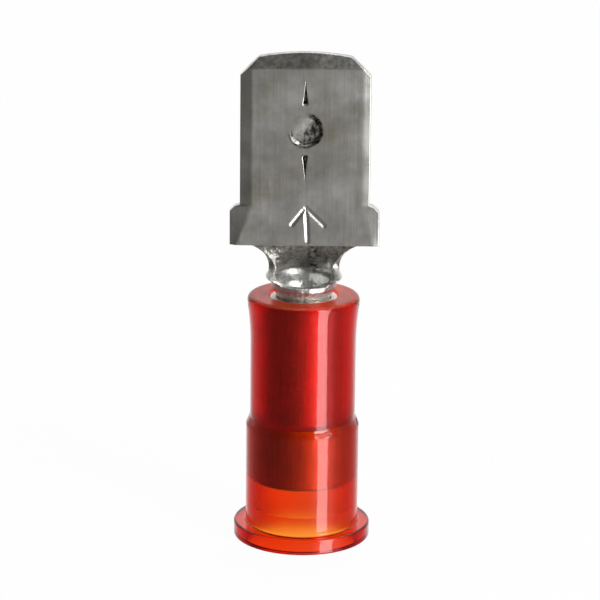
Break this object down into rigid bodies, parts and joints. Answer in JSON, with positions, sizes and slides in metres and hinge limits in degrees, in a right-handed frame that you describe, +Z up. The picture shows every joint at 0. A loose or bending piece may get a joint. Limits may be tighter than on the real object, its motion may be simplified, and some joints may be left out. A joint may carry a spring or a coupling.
{
  "type": "insulated male spade terminal",
  "caption": "Crimp terminal with a flat male tab folded double from sheet, a bowl-shaped neck, a rolled wire barrel, a metal grip sleeve and a translucent red moulded insulator with a flange.",
  "frame": {"origin": "centre of the insulator's bottom face, on the axis of the wire barrel", "axes": "+Z up along the barrel towards the tab's tip, X across the tab, -Y the side with the fold's seam"},
  "size_m": [0.0074, 0.0068, 0.0247],
  "materials": {
    "tinned_metal": "bright tin plating over a copper alloy, finely brushed along the tab",
    "grip_metal": "tin plated drawn tube",
    "red_nylon": "glossy translucent red nylon"
  },
  "bodies": {
    "root": {"terminal": "tinned_metal", "grip_sleeve": "grip_metal", "insulator": "red_nylon"}
  },
  "joints": []
}
